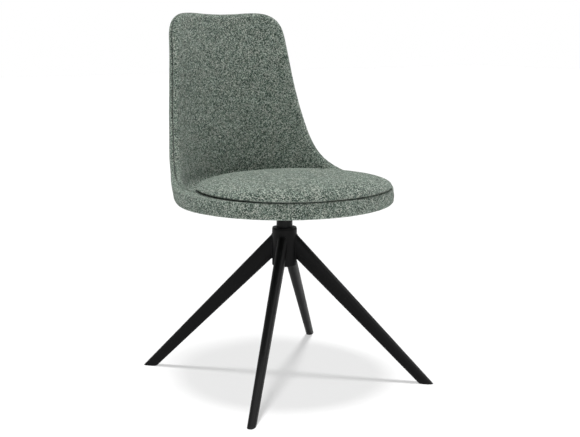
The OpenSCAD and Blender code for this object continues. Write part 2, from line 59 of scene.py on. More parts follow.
# Studio. A white paper floor and a white sky give soft light from all round. Of two suns straight above,
# one lights the floor alone and only the base stops it, so that the legs' shadows show inside the seat's.
# A sun at the front right shows in glosses only, and a round lamp stands low in front of the seat.
sky_light, sky_seen = 0.31, 1.0
paper_half_w = 14
paper_in_bounces, paper_as_seen = 0.44, 0.25
paper_own_light = 0.537
sun_plan = (("lamp_overhead", (0.0, 0.0, 3.0), 10, 3.08),
            ("lamp_on_legs", (0.0, 0.0, 3.2), 9, 2.7),
            ("lamp_front_right", (2.4, -2.2, 2.6), 50, 1.9))
low_lamp_place, low_lamp_aim = Vector((-1.0, -2.7, 0.5)), Vector((0, -0.2, 0.42))
low_lamp_w, low_lamp_power = 0.9, 8.5


def white_light(tree, kind, strength):
    node = tree.nodes.new(kind)
    node.inputs["Color"].default_value = (1, 1, 1, 1)
    node.inputs["Strength"].default_value = strength
    return node.outputs[0]


def lit_paper(tree, grey, own_light):
    """Matt paper of the given grey that also gives off some light of its own."""
    matt = tree.nodes.new("ShaderNodeBsdfDiffuse")
    matt.inputs["Color"].default_value = (grey, grey, grey, 1)
    both = tree.nodes.new("ShaderNodeAddShader")
    tree.links.new(matt.outputs[0], both.inputs[0])
    tree.links.new(white_light(tree, "ShaderNodeEmission", own_light), both.inputs[1])
    return both.outputs[0]


def part_by_ray(tree, lighting, shown, output):
    """One shader lights the chair. The other is what the camera, a gloss or glass shows as background."""
    path = tree.nodes.new("ShaderNodeLightPath")
    share = path.outputs["Is Camera Ray"]
    for way in ("Is Glossy Ray", "Is Transmission Ray"):
        either = tree.nodes.new("ShaderNodeMath")
        either.operation = "MAXIMUM"
        tree.links.new(share, either.inputs[0])
        tree.links.new(path.outputs[way], either.inputs[1])
        share = either.outputs[0]
    pick = tree.nodes.new("ShaderNodeMixShader")
    for socket, slot in zip((share, lighting, shown), pick.inputs):
        tree.links.new(socket, slot)
    tree.links.new(pick.outputs[0], tree.nodes.new(output).inputs["Surface"])


bpy.context.scene.view_settings.view_transform = "Standard"
sky = bpy.data.worlds.new("white_sky")
bpy.context.scene.world = sky
sky.use_nodes = True
tree = sky.node_tree
tree.nodes.clear()
part_by_ray(tree, white_light(tree, "ShaderNodeBackground", sky_light),
            white_light(tree, "ShaderNodeBackground", sky_seen), "ShaderNodeOutputWorld")

lamps = {}
for name, place, width, power in sun_plan:
    light = bpy.data.lights.new(name, "SUN")
    light.angle = radians(width)
    light.energy = power
    lamp = bpy.data.objects.new(name, light)
    lamp.location = place
    lamp.rotation_euler = (-Vector(place)).to_track_quat("-Z", "Y").to_euler()
    bpy.context.scene.collection.objects.link(lamp)
    lamps[name] = lamp
lamps["lamp_front_right"].visible_diffuse = False
leg_shade = bpy.data.collections.new("leg_shade")
lamps["lamp_on_legs"].light_linking.blocker_collection = leg_shade
under_legs = bpy.data.collections.new("under_legs")
lamps["lamp_on_legs"].light_linking.receiver_collection = under_legs

light = bpy.data.lights.new("lamp_low_front", "AREA")
light.shape = "DISK"
light.size = low_lamp_w
light.energy = low_lamp_power
lamp = bpy.data.objects.new("lamp_low_front", light)
lamp.location = low_lamp_place
lamp.rotation_euler = (low_lamp_aim - low_lamp_place).to_track_quat("-Z", "Y").to_euler()
bpy.context.scene.collection.objects.link(lamp)

paper_mesh = bpy.data.meshes.new("floor")
bm = bmesh.new()
bmesh.ops.create_grid(bm, x_segments=1, y_segments=1, size=paper_half_w)
bm.to_mesh(paper_mesh)
bm.free()
floor = bpy.data.objects.new("floor", paper_mesh)
bpy.context.scene.collection.objects.link(floor)
under_legs.objects.link(floor)
paper = bpy.data.materials.new("white_paper")
paper.use_nodes = True
tree = paper.node_tree
tree.nodes.clear()
part_by_ray(tree, lit_paper(tree, paper_in_bounces, sky_light),
            lit_paper(tree, paper_as_seen, paper_own_light), "ShaderNodeOutputMaterial")
paper_mesh.materials.append(paper)


# Hub. A short steel tube, powder coated in satin black. The coat has a fine orange-peel skin, and it
# is a little duller where hands and shoes have rubbed it.
def new_group(name, asks, gives):
    group = bpy.data.node_groups.new(name, "ShaderNodeTree")
    for label, kind, value in asks:
        socket = group.interface.new_socket(label, in_out="INPUT", socket_type="NodeSocket" + kind)
        socket.default_value = value
    for label, kind in gives:
        group.interface.new_socket(label, in_out="OUTPUT", socket_type="NodeSocket" + kind)
    return group, group.nodes.new("NodeGroupInput").outputs, group.nodes.new("NodeGroupOutput").inputs


def lay_noise(tree, scale, detail=2.0, rough=0.5, vector=None):
    node = tree.nodes.new("ShaderNodeTexNoise")
    node.inputs["Scale"].default_value = scale
    node.inputs["Detail"].default_value = detail
    node.inputs["Roughness"].default_value = rough
    if vector is not None:
        tree.links.new(vector, node.inputs["Vector"])
    return node.outputs["Fac"]


def calc(tree, how, *values):
    node = tree.nodes.new("ShaderNodeMath")
    node.operation = how
    for slot, value in zip(node.inputs, values):
        if isinstance(value, (int, float)):
            slot.default_value = value
        else:
            tree.links.new(value, slot)
    return node.outputs[0]


def spread(tree, value, low, high, to_low=0.0, to_high=1.0, smooth=True):
    node = tree.nodes.new("ShaderNodeMapRange")
    node.interpolation_type = "SMOOTHSTEP" if smooth else "LINEAR"
    tree.links.new(value, node.inputs["Value"])
    for label, number in (("From Min", low), ("From Max", high), ("To Min", to_low), ("To Max", to_high)):
        node.inputs[label].default_value = number
    return node.outputs["Result"]


def tint(tree, share, first, second, how="MIX"):
    node = tree.nodes.new("ShaderNodeMix")
    node.data_type = "RGBA"
    node.blend_type = how
    for label, value in (("Factor", share), ("A", first), ("B", second)):
        if isinstance(value, tuple):
            node.inputs[label].default_value = value
        else:
            tree.links.new(value, node.inputs[label])
    return node.outputs["Result"]


# The five calls above are used by every finish below. This group is the skin of a sprayed or moulded
# surface: fine pits come out as a height, and broad patches of wear and rubbed edges as masks.
skin, asked, given = new_group(
    "fine_skin",
    [("Vector", "Vector", (0, 0, 0)), ("Pit Scale", "Float", 1500.0), ("Patch Scale", "Float", 30.0)],
    [("Height", "Float"), ("Patch", "Float"), ("Edge", "Float")])
pits = lay_noise(skin, 1.0, 2.0, 0.5, asked["Vector"])
skin.links.new(asked["Pit Scale"], pits.node.inputs["Scale"])
pebbles = lay_noise(skin, 1.0, 1.0, 0.4, asked["Vector"])
skin.links.new(calc(skin, "MULTIPLY", asked["Pit Scale"], 0.3), pebbles.node.inputs["Scale"])
skin.links.new(calc(skin, "ADD", calc(skin, "MULTIPLY", pits, 0.5), pebbles), given["Height"])
patch = lay_noise(skin, 1.0, 4.0, 0.6, asked["Vector"])
skin.links.new(asked["Patch Scale"], patch.node.inputs["Scale"])
skin.links.new(spread(skin, patch, 0.38, 0.66), given["Patch"])
shape = skin.nodes.new("ShaderNodeNewGeometry")
skin.links.new(spread(skin, shape.outputs["Pointiness"], 0.52, 0.62), given["Edge"])


def finish(name, base, patch_color, rough, bump, depth, pit_scale, patch_scale,
           metallic=0.0, specular=0.5, patch_rough=0.1, edge_color=None):
    made = bpy.data.materials.new(name)
    made.use_nodes = True
    tree = made.node_tree
    shader = tree.nodes["Principled BSDF"]
    shader.inputs["Metallic"].default_value = metallic
    shader.inputs["Specular IOR Level"].default_value = specular
    place = tree.nodes.new("ShaderNodeTexCoord")
    use = tree.nodes.new("ShaderNodeGroup")
    use.node_tree = skin
    use.inputs["Pit Scale"].default_value = pit_scale
    use.inputs["Patch Scale"].default_value = patch_scale
    tree.links.new(place.outputs["Object"], use.inputs["Vector"])
    color = tint(tree, use.outputs["Patch"], base, patch_color)
    if edge_color:
        color = tint(tree, use.outputs["Edge"], color, edge_color)
    tree.links.new(color, shader.inputs["Base Color"])
    tree.links.new(spread(tree, use.outputs["Patch"], 0.0, 1.0, rough, rough + patch_rough, smooth=False),
                   shader.inputs["Roughness"])
    relief = tree.nodes.new("ShaderNodeBump")
    relief.inputs["Strength"].default_value = bump
    relief.inputs["Distance"].default_value = depth
    tree.links.new(use.outputs["Height"], relief.inputs["Height"])
    tree.links.new(relief.outputs["Normal"], shader.inputs["Normal"])
    return made


def dress(obj, material):
    obj.data.materials.clear()
    obj.data.materials.append(material)


powder_black = finish("powder_black", base=(0.0024, 0.0024, 0.0026, 1),
                      patch_color=(0.0033, 0.0033, 0.0035, 1), edge_color=(0.010, 0.010, 0.0105, 1),
                      rough=0.46, patch_rough=0.07, specular=0.11, bump=0.25, depth=0.0003,
                      pit_scale=1300.0, patch_scale=24.0)
for name in ("hub_tube", "mounting_plate", "spindle"):
    dress(nodes[name], powder_black)
for name in ("hub_tube", "hub_floor"):
    leg_shade.objects.link(nodes[name])


# Legs. Four flat-oval steel tubes that taper from the hub to the foot. Each is mitred to the hub's
# round wall and welded all round, and the weld lies under the same powder coat.
hub_r = 0.028
ridge_top, ridge_low = 0.329, 0.273
toe, heel = 0.340, 0.3075
leg_w, foot_w = 0.024, 0.0175
sole = 0.003
bulge = 0.8
leg_sides = 72
leg_stages = (0.0, 0.004, 0.02, 0.1, 0.3, 0.6, 0.9, 0.98, 1.0)
halvings = 40
same_spot, sharp_angle = 1e-7, 35
weld_r, weld_lap = 0.0011, 0.0004
weld_ripples = ((23, 0, 0.16), (9, 1, 0.08))
corners = {"front_left": -135, "front_right": -45, "rear_left": 135, "rear_right": 45}


def leg_point(turn, z):
    """A place on the leg's oval skin, at height z. The turn counts round the oval from its outer side."""
    c, s = cos(turn), sin(turn)
    far = toe + (hub_r - toe) * z / ridge_top
    near = heel + (hub_r - heel) * z / ridge_low
    half_w = (foot_w + (leg_w - foot_w) * z / ridge_top) / 2
    x = (far + near) / 2 + (far - near) / 2 * (abs(c) ** bulge if c > 0 else -abs(c) ** bulge)
    y = half_w * (abs(s) ** bulge if s > 0 else -abs(s) ** bulge)
    return Vector((x, y, z))


def mitre_z(turn, radius):
    """How high the leg's line at this turn meets a round wall of this radius."""
    low, high = ridge_low / 2, ridge_top + leg_w
    for _ in range(halvings):
        mid = (low + high) / 2
        p = leg_point(turn, mid)
        if p.x > 0 and hypot(p.x, p.y) > radius:
            low = mid
        else:
            high = mid
    return (low + high) / 2


def rank(part, total):
    """A number that puts edges and faces in the order of their lowest corners."""
    return sum(n / total ** k for k, n in enumerate(sorted(v.index for v in part.verts)[:3]))


def stack_rings(rings, count, ends="fill"):
    """A closed skin: one circle, extruded from ring to ring. rings[r](k) gives the place of column k."""
    bm = bmesh.new()
    column = bm.verts.layers.int.new("column")
    level = bm.verts.layers.int.new("ring")
    first = bmesh.ops.create_circle(bm, cap_ends=False, segments=count, radius=1.0)["verts"]
    first.sort(key=lambda v: atan2(v.co.y, v.co.x) % (2 * pi))
    for k, v in enumerate(first):
        v[column] = k
        v.co = rings[0](k)
    edges = list({e for v in first for e in v.link_edges})
    if ends == "fill":
        bmesh.ops.contextual_create(bm, geom=edges)
    for r, ring in enumerate(rings[1:]):
        grown = bmesh.ops.extrude_edge_only(bm, edges=edges)["geom"]
        verts = {g for g in grown if isinstance(g, bmesh.types.BMVert)}
        edges = [g for g in grown if isinstance(g, bmesh.types.BMEdge) and verts.issuperset(g.verts)]
        for v in verts:
            v[level] = r + 1
            v.co = ring(v[column])
    if ends == "fill":
        bmesh.ops.contextual_create(bm, geom=edges)
    else:
        bmesh.ops.remove_doubles(bm, verts=bm.verts, dist=same_spot)
    bmesh.ops.recalc_face_normals(bm, faces=bm.faces)
    # An extrusion's order can change from run to run, and a cloth follows it, so it is set here.
    bm.verts.index_update()
    total = len(bm.verts)
    bm.edges.sort(key=lambda e: rank(e, total))
    bm.faces.sort(key=lambda face: rank(face, total))
    bm.normal_update()
    return bm


def settle(bm, name, body, material):
    """Makes the mesh a smooth-shaded piece that rides on a body and has a material slot of its own."""
    mesh = bpy.data.meshes.new(name)
    bm.to_mesh(mesh)
    bm.free()
    for face in mesh.polygons:
        face.use_smooth = True
    obj = bpy.data.objects.new(name, mesh)
    bpy.context.scene.collection.objects.link(obj)
    mesh.materials.append(material)
    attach(obj, body)
    return obj


def sharpen(obj):
    mesh = obj.data
    bm = bmesh.new()
    bm.from_mesh(mesh)
    for e in bm.edges:
        e.smooth = not (len(e.link_faces) == 2 and e.calc_face_angle() > radians(sharp_angle))
    bm.to_mesh(mesh)
    bm.free()


turns = [2 * pi * k / leg_sides for k in range(leg_sides)]
tops = [mitre_z(turn, hub_r - weld_lap) for turn in turns]
for corner, bearing in corners.items():
    spot = Matrix.Translation((0, axis_y, 0)) @ Matrix.Rotation(radians(bearing), 4, "Z")
    rings = [lambda k, s=s: spot @ leg_point(turns[k], sole + (tops[k] - sole) * s) for s in leg_stages]
    bm = stack_rings(rings, leg_sides)
    leg = settle(bm, "leg_tube_" + corner, "base", powder_black)
    sharpen(leg)
    leg_shade.objects.link(leg)
    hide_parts("leg_" + corner)

    bead = bpy.data.curves.new("weld_" + corner, "CURVE")
    bead.dimensions = "3D"
    line = bead.splines.new("POLY")
    line.points.add(leg_sides - 1)
    for k, turn in enumerate(turns):
        p = leg_point(turn, mitre_z(turn, hub_r + weld_lap))
        line.points[k].co = (p.x, p.y, p.z, 1)
        line.points[k].radius = 1.0 + sum(high * sin(n * turn + at) for n, at, high in weld_ripples)
    line.use_cyclic_u = True
    bead.bevel_depth = weld_r
    bead.bevel_resolution = 3
    rope = bpy.data.objects.new("weld_line", bead)
    bpy.context.scene.collection.objects.link(rope)
    mesh = bpy.data.meshes.new_from_object(rope)
    mesh.transform(spot)
    mesh.name = "weld_bead_" + corner
    bpy.data.objects.remove(rope)
    weld = bpy.data.objects.new("weld_bead_" + corner, mesh)
    bpy.context.scene.collection.objects.link(weld)
    for face in mesh.polygons:
        face.use_smooth = True
    dress(weld, powder_black)
    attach(weld, "base")


# Black plastic: the glide under each foot, the two guide bushes of the hub and the cap below it.
# Moulded nylon, a little shinier where it is polished by use.
nylon_black = finish("nylon_black", base=(0.004, 0.004, 0.004, 1), patch_color=(0.006, 0.006, 0.006, 1),
                     rough=0.5, patch_rough=0.12, specular=0.14, bump=0.2, depth=0.00015,
                     pit_scale=2200.0, patch_scale=40.0)
for name in ("glide_front_left", "glide_front_right", "glide_rear_left", "glide_rear_right",
             "upper_bush", "lower_bush", "hub_cap"):
    dress(nodes[name], nylon_black)


# Swivel. A ball thrust bearing inside the hub carries the column, and a washer and a clip on the
# column's stud keep it from lifting out. Ground steel races, a moulded cage, zinc-plated small parts.
ball_steel = finish("ball_steel", base=(0.62, 0.63, 0.64, 1), patch_color=(0.5, 0.51, 0.52, 1), rough=0.16,
                    metallic=1.0, bump=0.05, depth=0.00005, pit_scale=3000.0, patch_scale=60.0)
cage_nylon = finish("cage_nylon", base=(0.58, 0.48, 0.27, 1), patch_color=(0.5, 0.4, 0.22, 1), rough=0.5,
                    bump=0.2, depth=0.0001, pit_scale=2500.0, patch_scale=90.0)
zinc_plate = finish("zinc_plate", base=(0.45, 0.47, 0.49, 1), patch_color=(0.36, 0.38, 0.4, 1),
                    edge_color=(0.6, 0.61, 0.62, 1), rough=0.34, patch_rough=0.15, metallic=1.0,
                    bump=0.15, depth=0.0001, pit_scale=1800.0, patch_scale=120.0)
for name in ("bearing_balls", "bearing_lower_race", "bearing_upper_race"):
    dress(nodes[name], ball_steel)
dress(nodes["bearing_cage"], cage_nylon)
for name in ("hub_floor", "retaining_washer", "retaining_clip", "plate_bolts", "plate_washers", "tee_nuts",
             "cushion_screws"):
    dress(nodes[name], zinc_plate)


# Moulded plywood: the shell's core and the cushion's board. Rotary-cut birch, with long wavering
# grain on the faces and the plies' edges, which lie hidden under the foam.
birch_pale, birch_brown, birch_vein = (0.62, 0.45, 0.27, 1), (0.5, 0.33, 0.18, 1), (0.4, 0.25, 0.13, 1)
birch = bpy.data.materials.new("birch_ply")
birch.use_nodes = True
tree = birch.node_tree
shader = tree.nodes["Principled BSDF"]
place = tree.nodes.new("ShaderNodeTexCoord")
stretch = tree.nodes.new("ShaderNodeMapping")
stretch.inputs["Scale"].default_value = (60, 6, 6)
tree.links.new(place.outputs["Object"], stretch.inputs["Vector"])
grain = lay_noise(tree, 3.0, 6.0, 0.62, stretch.outputs[0])
veins = lay_noise(tree, 14.0, 3.0, 0.5, stretch.outputs[0])
wood = tint(tree, spread(tree, grain, 0.3, 0.7), birch_pale, birch_brown)
wood = tint(tree, spread(tree, veins, 0.45, 0.7), wood, birch_vein)
tree.links.new(wood, shader.inputs["Base Color"])
tree.links.new(spread(tree, grain, 0.0, 1.0, 0.5, 0.7), shader.inputs["Roughness"])
relief = tree.nodes.new("ShaderNodeBump")
relief.inputs["Strength"].default_value = 0.2
relief.inputs["Distance"].default_value = 0.0003
tree.links.new(grain, relief.inputs["Height"])
tree.links.new(relief.outputs["Normal"], shader.inputs["Normal"])
for name in ("shell_core", "cushion_board"):
    dress(nodes[name], birch)


# Outer cover. Foam and a looped woven wool in grey green, pulled tight over the outside of the moulded
# shell: underside, rim, wings and back. It is sewn to the inner cover along the edge of the wings.
loop_w = 0.0016
loop_share = 0.74
streaks = (((0.9, 0.9, 0.25), 0.14), ((0.25, 0.25, 0.9), 0.12))


def stretched(tree, vector, by):
    node = tree.nodes.new("ShaderNodeVectorMath")
    node.operation = "MULTIPLY"
    tree.links.new(vector, node.inputs[0])
    if isinstance(by, tuple):
        node.inputs[1].default_value = by
    else:
        tree.links.new(by, node.inputs[1])
    return node.outputs[0]


def weave_group():
    """Loops of yarn, each with its own shade, in streaks that run along the cloth and across it."""
    group, asked, given = new_group(
        "looped_weave",
        [("Vector", "Vector", (0, 0, 0)), ("Loop Size", "Float", loop_w), ("Lean", "Vector", (1, 1, 0.85))],
        [("Height", "Float"), ("Gap", "Float"), ("Yarn", "Float"), ("Cloud", "Float")])
    per = group.nodes.new("ShaderNodeVectorMath")
    per.operation = "SCALE"
    group.links.new(stretched(group, asked["Vector"], asked["Lean"]), per.inputs[0])
    group.links.new(calc(group, "DIVIDE", 1.0, asked["Loop Size"]), per.inputs["Scale"])
    wander = group.nodes.new("ShaderNodeTexNoise")
    wander.inputs["Scale"].default_value = 0.7
    wander.inputs["Detail"].default_value = 1.0
    group.links.new(per.outputs[0], wander.inputs["Vector"])
    push = group.nodes.new("ShaderNodeVectorMath")
    push.operation = "MULTIPLY_ADD"
    push.inputs[1].default_value = (1.2, 1.2, 1.2)
    group.links.new(wander.outputs["Color"], push.inputs[0])
    group.links.new(per.outputs[0], push.inputs[2])
    cell = group.nodes.new("ShaderNodeTexVoronoi")
    cell.inputs["Scale"].default_value = 1.0
    group.links.new(push.outputs[0], cell.inputs["Vector"])
    hair = lay_noise(group, 3.0, 2.0, 0.6, push.outputs[0])
    loops = spread(group, cell.outputs["Distance"], 0.1, 0.85, 1.0, 0.0)
    group.links.new(calc(group, "ADD", loops, calc(group, "MULTIPLY", hair, 0.4)), given["Height"])
    frayed = calc(group, "ADD", cell.outputs["Distance"], calc(group, "MULTIPLY", hair, 0.3))
    group.links.new(spread(group, frayed, 0.6, 0.95), given["Gap"])
    draws = group.nodes.new("ShaderNodeSeparateColor")
    group.links.new(cell.outputs["Color"], draws.inputs[0])
    yarn = calc(group, "MULTIPLY", draws.outputs[0], loop_share)
    for way, share in streaks:
        streak = lay_noise(group, 1.0, 1.0, 0.5, stretched(group, per.outputs[0], way))
        yarn = calc(group, "ADD", yarn, spread(group, streak, 0.32, 0.68, 0.0, share))
    group.links.new(yarn, given["Yarn"])
    group.links.new(lay_noise(group, 0.09, 2.0, 0.5, per.outputs[0]), given["Cloud"])
    return group


looped_weave = weave_group()
yarn_shades = ((0.0, (0.018, 0.034, 0.026, 1)), (0.28, (0.038, 0.062, 0.048, 1)),
               (0.38, (0.136, 0.181, 0.147, 1)), (0.58, (0.236, 0.300, 0.250, 1)),
               (0.72, (0.420, 0.486, 0.421, 1)), (1.0, (0.700, 0.748, 0.666, 1)))
# The second colour here is a painted shade for the gaps between the loops.
warm_tint, gap_painted_shade = (1.06, 0.98, 0.99, 1), (0.030, 0.040, 0.033, 1)
# The colour of a painted shade along the sunk seam, darkest in its stitch holes.
painted_seam_shade = (0.018, 0.022, 0.019, 1)
stitch_pitch, seam_w, pucker_w = 0.0075, 0.0022, 0.008


def upholstery(name, lean, edge_map=None):
    made = bpy.data.materials.new(name)
    made.use_nodes = True
    tree = made.node_tree
    shader = tree.nodes["Principled BSDF"]
    shader.inputs["Roughness"].default_value = 0.9
    shader.inputs["Specular IOR Level"].default_value = 0.08
    shader.inputs["Sheen Weight"].default_value = 0.25
    shader.inputs["Sheen Roughness"].default_value = 0.5
    shader.inputs["Sheen Tint"].default_value = (0.75, 0.8, 0.76, 1)
    place = tree.nodes.new("ShaderNodeTexCoord")
    use = tree.nodes.new("ShaderNodeGroup")
    use.node_tree = looped_weave
    use.inputs["Lean"].default_value = lean
    tree.links.new(place.outputs["Object"], use.inputs["Vector"])
    yarn = tree.nodes.new("ShaderNodeValToRGB")
    yarn.color_ramp.interpolation = "LINEAR"
    yarn.color_ramp.elements[0].position, yarn.color_ramp.elements[0].color = yarn_shades[0]
    yarn.color_ramp.elements[1].position, yarn.color_ramp.elements[1].color = yarn_shades[-1]
    for spot, color in yarn_shades[1:-1]:
        yarn.color_ramp.elements.new(spot).color = color
    tree.links.new(use.outputs["Yarn"], yarn.inputs[0])
    color = yarn.outputs["Color"]
    warm = spread(tree, use.outputs["Cloud"], 0.42, 0.62, 0.0, 0.5)
    color = tint(tree, warm, color, warm_tint, "MULTIPLY")
    # The gaps between the loops darken: a painted shade between the loops.
    color = tint(tree, calc(tree, "MULTIPLY", use.outputs["Gap"], 0.7), color, gap_painted_shade)
    height = use.outputs["Height"]
    if edge_map:
        sewn = tree.nodes.new("ShaderNodeUVMap")
        sewn.uv_map = edge_map
        parts = tree.nodes.new("ShaderNodeSeparateXYZ")
        tree.links.new(sewn.outputs["UV"], parts.inputs[0])
        # Along the sewn edge the colour darkens to a painted shade of the sunk seam, deepest at each stitch
        # hole. The pucker beside it is a bump.
        near = spread(tree, parts.outputs["Y"], 0.0005, seam_w, 1.0, 0.0)
        beat = calc(tree, "SINE", calc(tree, "MULTIPLY", parts.outputs["X"], 2 * pi / stitch_pitch))
        seam_shade_mask = calc(tree, "MULTIPLY", near, spread(tree, beat, -0.8, 0.8, 0.7, 1.0))
        color = tint(tree, calc(tree, "MULTIPLY", seam_shade_mask, 0.9), color, painted_seam_shade)
        pucker = calc(tree, "MULTIPLY", spread(tree, parts.outputs["Y"], 0.001, pucker_w, 0.6, 0.0), beat)
        height = calc(tree, "SUBTRACT", height, pucker)
    tree.links.new(color, shader.inputs["Base Color"])
    relief = tree.nodes.new("ShaderNodeBump")
    relief.inputs["Strength"].default_value = 0.85
    relief.inputs["Distance"].default_value = 0.0011
    tree.links.new(height, relief.inputs["Height"])
    tree.links.new(relief.outputs["Normal"], shader.inputs["Normal"])
    return made


wool_on_shell = upholstery("woven_upholstery", (1, 1, 0.85), "sewn_edge")

# Heights are above the floor. Directions are angles seen from the middle of the pan, counted from the
# rear round to the front.
pan_low, rim_top, back_rise = 0.402, 0.438, 0.382
pan_r, pan_behind = 0.231, 0.0028
rim_h, half_edge = 0.036, 0.013
wide_z = pan_low + rim_h / 6
seat_gap = 0.0003
seat_floor = rim_top - seat_gap
core_mid, core_t, core_gap = 0.411, 0.006, 0.0002
core_bend_w, core_bend_share, core_inset, parting_in = 0.0239, 0.6, 0.002, 0.01
wing_under_w, wing_bend_up = 0.026, 0.009
back_fill, fill_span = 0.003, 45
side_hollow_r, rear_hollow_r, hollow_from, hollow_span, hollow_share = 0.010, 0.004, 76, 20, 0.85
dip, dip_from, dip_span = 0.02, 84, 12
dip_inside, dip_w, dip_floor_in, bowl_r = 0.009, 0.012, 0.004, 0.022
groove, groove_w = 0.0032, 0.0024
rim_under_w, rim_slack, rim_swell, rim_sag = 0.022, 0.0006, 0.0013, 1.3
lip_inset, lip_h, lip_rise, lip_rise_w, lip_softness = 0.0208, 0.008, 0.0036, 0.011, 0.42
cushion_a, cushion_b, cushion_ahead, squareness, seam_z = 0.2165, 0.2015, 0.039, 2.12, 0.4431

# Level sections of the shell's middle surface: the height above the rim over the back's rise, then the
# half width, the half depth and the reach to the rear over the pan's radius.
levels = [(-0.1, 1, 1, 1), (-0.066, 1, 1, 1), (0.005, 1.02, 1.025, 1.02), (0.06, 1.045, 1.05, 1.03),
          (0.11, 1.085, 1.085, 1.04), (0.16, 1.115, 1.115, 1.055), (0.27, 1.16, 1.155, 1.075),
          (0.42, 1.2, 1.2, 1.11), (0.58, 1.235, 1.235, 1.135), (0.74, 1.29, 1.29, 1.155),
          (0.9, 1.365, 1.365, 1.19), (1, 1.41, 1.41, 1.215)]
# The edge, as directions counted from the rear: the height over the back's rise, and wing or rim.
edge_line = [(0, .989, 0), (7, .992, 0), (13, .998, 0), (17.5, .998, 0), (21.2, .989, 0), (24.3, .969, 0),
             (26.9, .936, 0), (29.1, .880, 0), (31.4, .775, 0), (35.5, .581, 0), (39.5, .400, 0),
             (44, .252, 0), (49.5, .150, 0), (55, .095, 0), (61, .060, .02), (67, .040, .15),
             (74, .026, .48), (82, .016, .84), (92, .010, 1), (106, .010, 1), (143, .010, 1), (180, .010, 1)]


def read_row(table, x):
    i = 0
    while i < len(table) - 2 and x >= table[i + 1][0]:
        i += 1
    w = table[i + 1][0] - table[i][0]
    t = min(1, max(0, (x - table[i][0]) / w))

    def slope(k, c):
        low, high = table[max(0, k - 1)], table[min(len(table) - 1, k + 1)]
        return (high[c] - low[c]) / (high[0] - low[0])

    return [(2 * t ** 3 - 3 * t ** 2 + 1) * table[i][c] + (t ** 3 - 2 * t ** 2 + t) * w * slope(i, c)
            + (3 * t ** 2 - 2 * t ** 3) * table[i + 1][c] + (t ** 3 - t ** 2) * w * slope(i + 1, c)
            for c in range(1, len(table[0]))]


def ease(t):
    t = min(1, max(0, t))
    return t * t * (3 - 2 * t)


def wing_point(a, d, z):
    """A place on a wing at height z, at a distance d outwards from its middle surface."""
    half_w, half_d, rear = [pan_r * v for v in read_row(levels, (max(z, wide_z) - rim_top) / back_rise)]
    a = radians(a)
    return Vector(((half_w + d) * sin(a), pan_behind + rear - half_d + (half_d + d) * cos(a), z))


def rim_point(a, d, z):
    return Vector(((pan_r + d) * sin(radians(a)), pan_behind + (pan_r + d) * cos(radians(a)), z))


def tip_z(a):
    return rim_top + read_row(edge_line, min(180, abs(a)))[0] * back_rise


def rooted(a, inset):
    """The direction and height of the place that lies this far in from the edge, square to it."""
    half_w = pan_r * read_row(levels, (tip_z(a) - rim_top) / back_rise)[0]
    step = 1.2
    run = Vector((half_w * radians(2 * step), tip_z(min(180, a + step)) - tip_z(a - step)))
    way = Vector((-run.y, run.x)).normalized()
    return a - degrees(inset * way.x / half_w), tip_z(a) - inset * way.y


def turned_corner(p, k, q, f, soft=1.0):
    """A place on the round turn from p to q about the sharp corner k. Softness 1 gives a quarter ellipse."""
    return k - (k - p) * (1 - sin(radians(f)) ** soft) - (k - q) * (1 - max(0, cos(radians(f))) ** soft)


under_angles = (90, 75, 60, 45, 30, 15)
wall_steps = (0, .04, .09, .15, .22, .3, .38, .46, .54, .62, .7, .77, .84, .9, .95)
cap_steps = (12, 25, 38, 50, 60, 68, 75, 80, 84, 87, 89.4)
hollow_angles = (6, 14, 23, 33, 44, 55, 66, 78, 90)
core_angles = (90, 65, 40, 20)
core_steps = (0, .2, .4, .6, .8, 1)
dip_steps = (0, .25, .5, .75, 1)
floor_shares = (0, .4, .62)


def cushion_reach(a):
    """How far the cushion's edge stands from the middle of the pan, in the direction a."""
    low, high = pan_r / 2, pan_r * 1.5
    for _ in range(halvings):
        r = (low + high) / 2
        x, y = r * sin(radians(a)), pan_behind + r * cos(radians(a)) + cushion_ahead
        if abs(x / cushion_a) ** squareness + abs(y / cushion_b) ** squareness < 1:
            low = r
        else:
            high = r
    return low


def swell(a, q):
    return back_fill * sin(pi * min(1, max(0, q))) * ease((fill_span - a) / fill_span)


def sunk(f, root, tip):
    gap = half_edge * radians(90 - f)
    return (root - tip).normalized() * groove * exp(-(gap / groove_w) ** 2)


def wing_side(a, out):
    """From the pan up to the edge on the outside (out = 1) or the inside (out = -1) of a wing."""
    b, z = rooted(a, half_edge)
    root, tip = wing_point(b, 0, z), wing_point(a, 0, tip_z(a))
    end = wing_point(b, out * half_edge, z)
    cap = [turned_corner(end, end + tip - root, tip, f) + sunk(f, root, tip) for f in cap_steps]
    if out > 0:
        bend = wide_z + wing_bend_up
        foot = [wing_point(b, half_edge - wing_under_w * (1 - cos(radians(f))),
                        bend - (bend - pan_low) * sin(radians(f))) for f in under_angles]
        wall = [wing_point(b, half_edge + swell(a, q), bend + (z - bend) * q) for q in wall_steps]
    else:
        hollow_r = rear_hollow_r + (side_hollow_r - rear_hollow_r) * ease((a - hollow_from) / hollow_span)
        deep = dip * (1 - ease((a - dip_from) / dip_span))
        low = seat_floor + min(hollow_r, (z - seat_floor) * hollow_share)
        foot_top, k = wing_point(b, -half_edge, low), wing_point(b, -half_edge, seat_floor - deep)
        edge = cushion_reach(b)
        out_to = hypot(k.x, k.y - pan_behind)
        way = Vector((sin(radians(b)), cos(radians(b)), 0))
        middle = Vector((0, pan_behind, seat_floor))
        foot = [middle + way * (edge - dip_inside + dip_w * s) - Vector((0, 0, deep * ease(s)))
                for s in dip_steps]
        pan = middle + way * max(edge + dip_floor_in, out_to - max(hollow_r, bowl_r)) - Vector((0, 0, deep))
        foot += [turned_corner(foot_top, k, pan, f) for f in reversed(hollow_angles)]
        wall = [wing_point(b, -half_edge - swell(a, q), low + (z - low) * q) for q in wall_steps]
    return foot + wall + [end] + cap


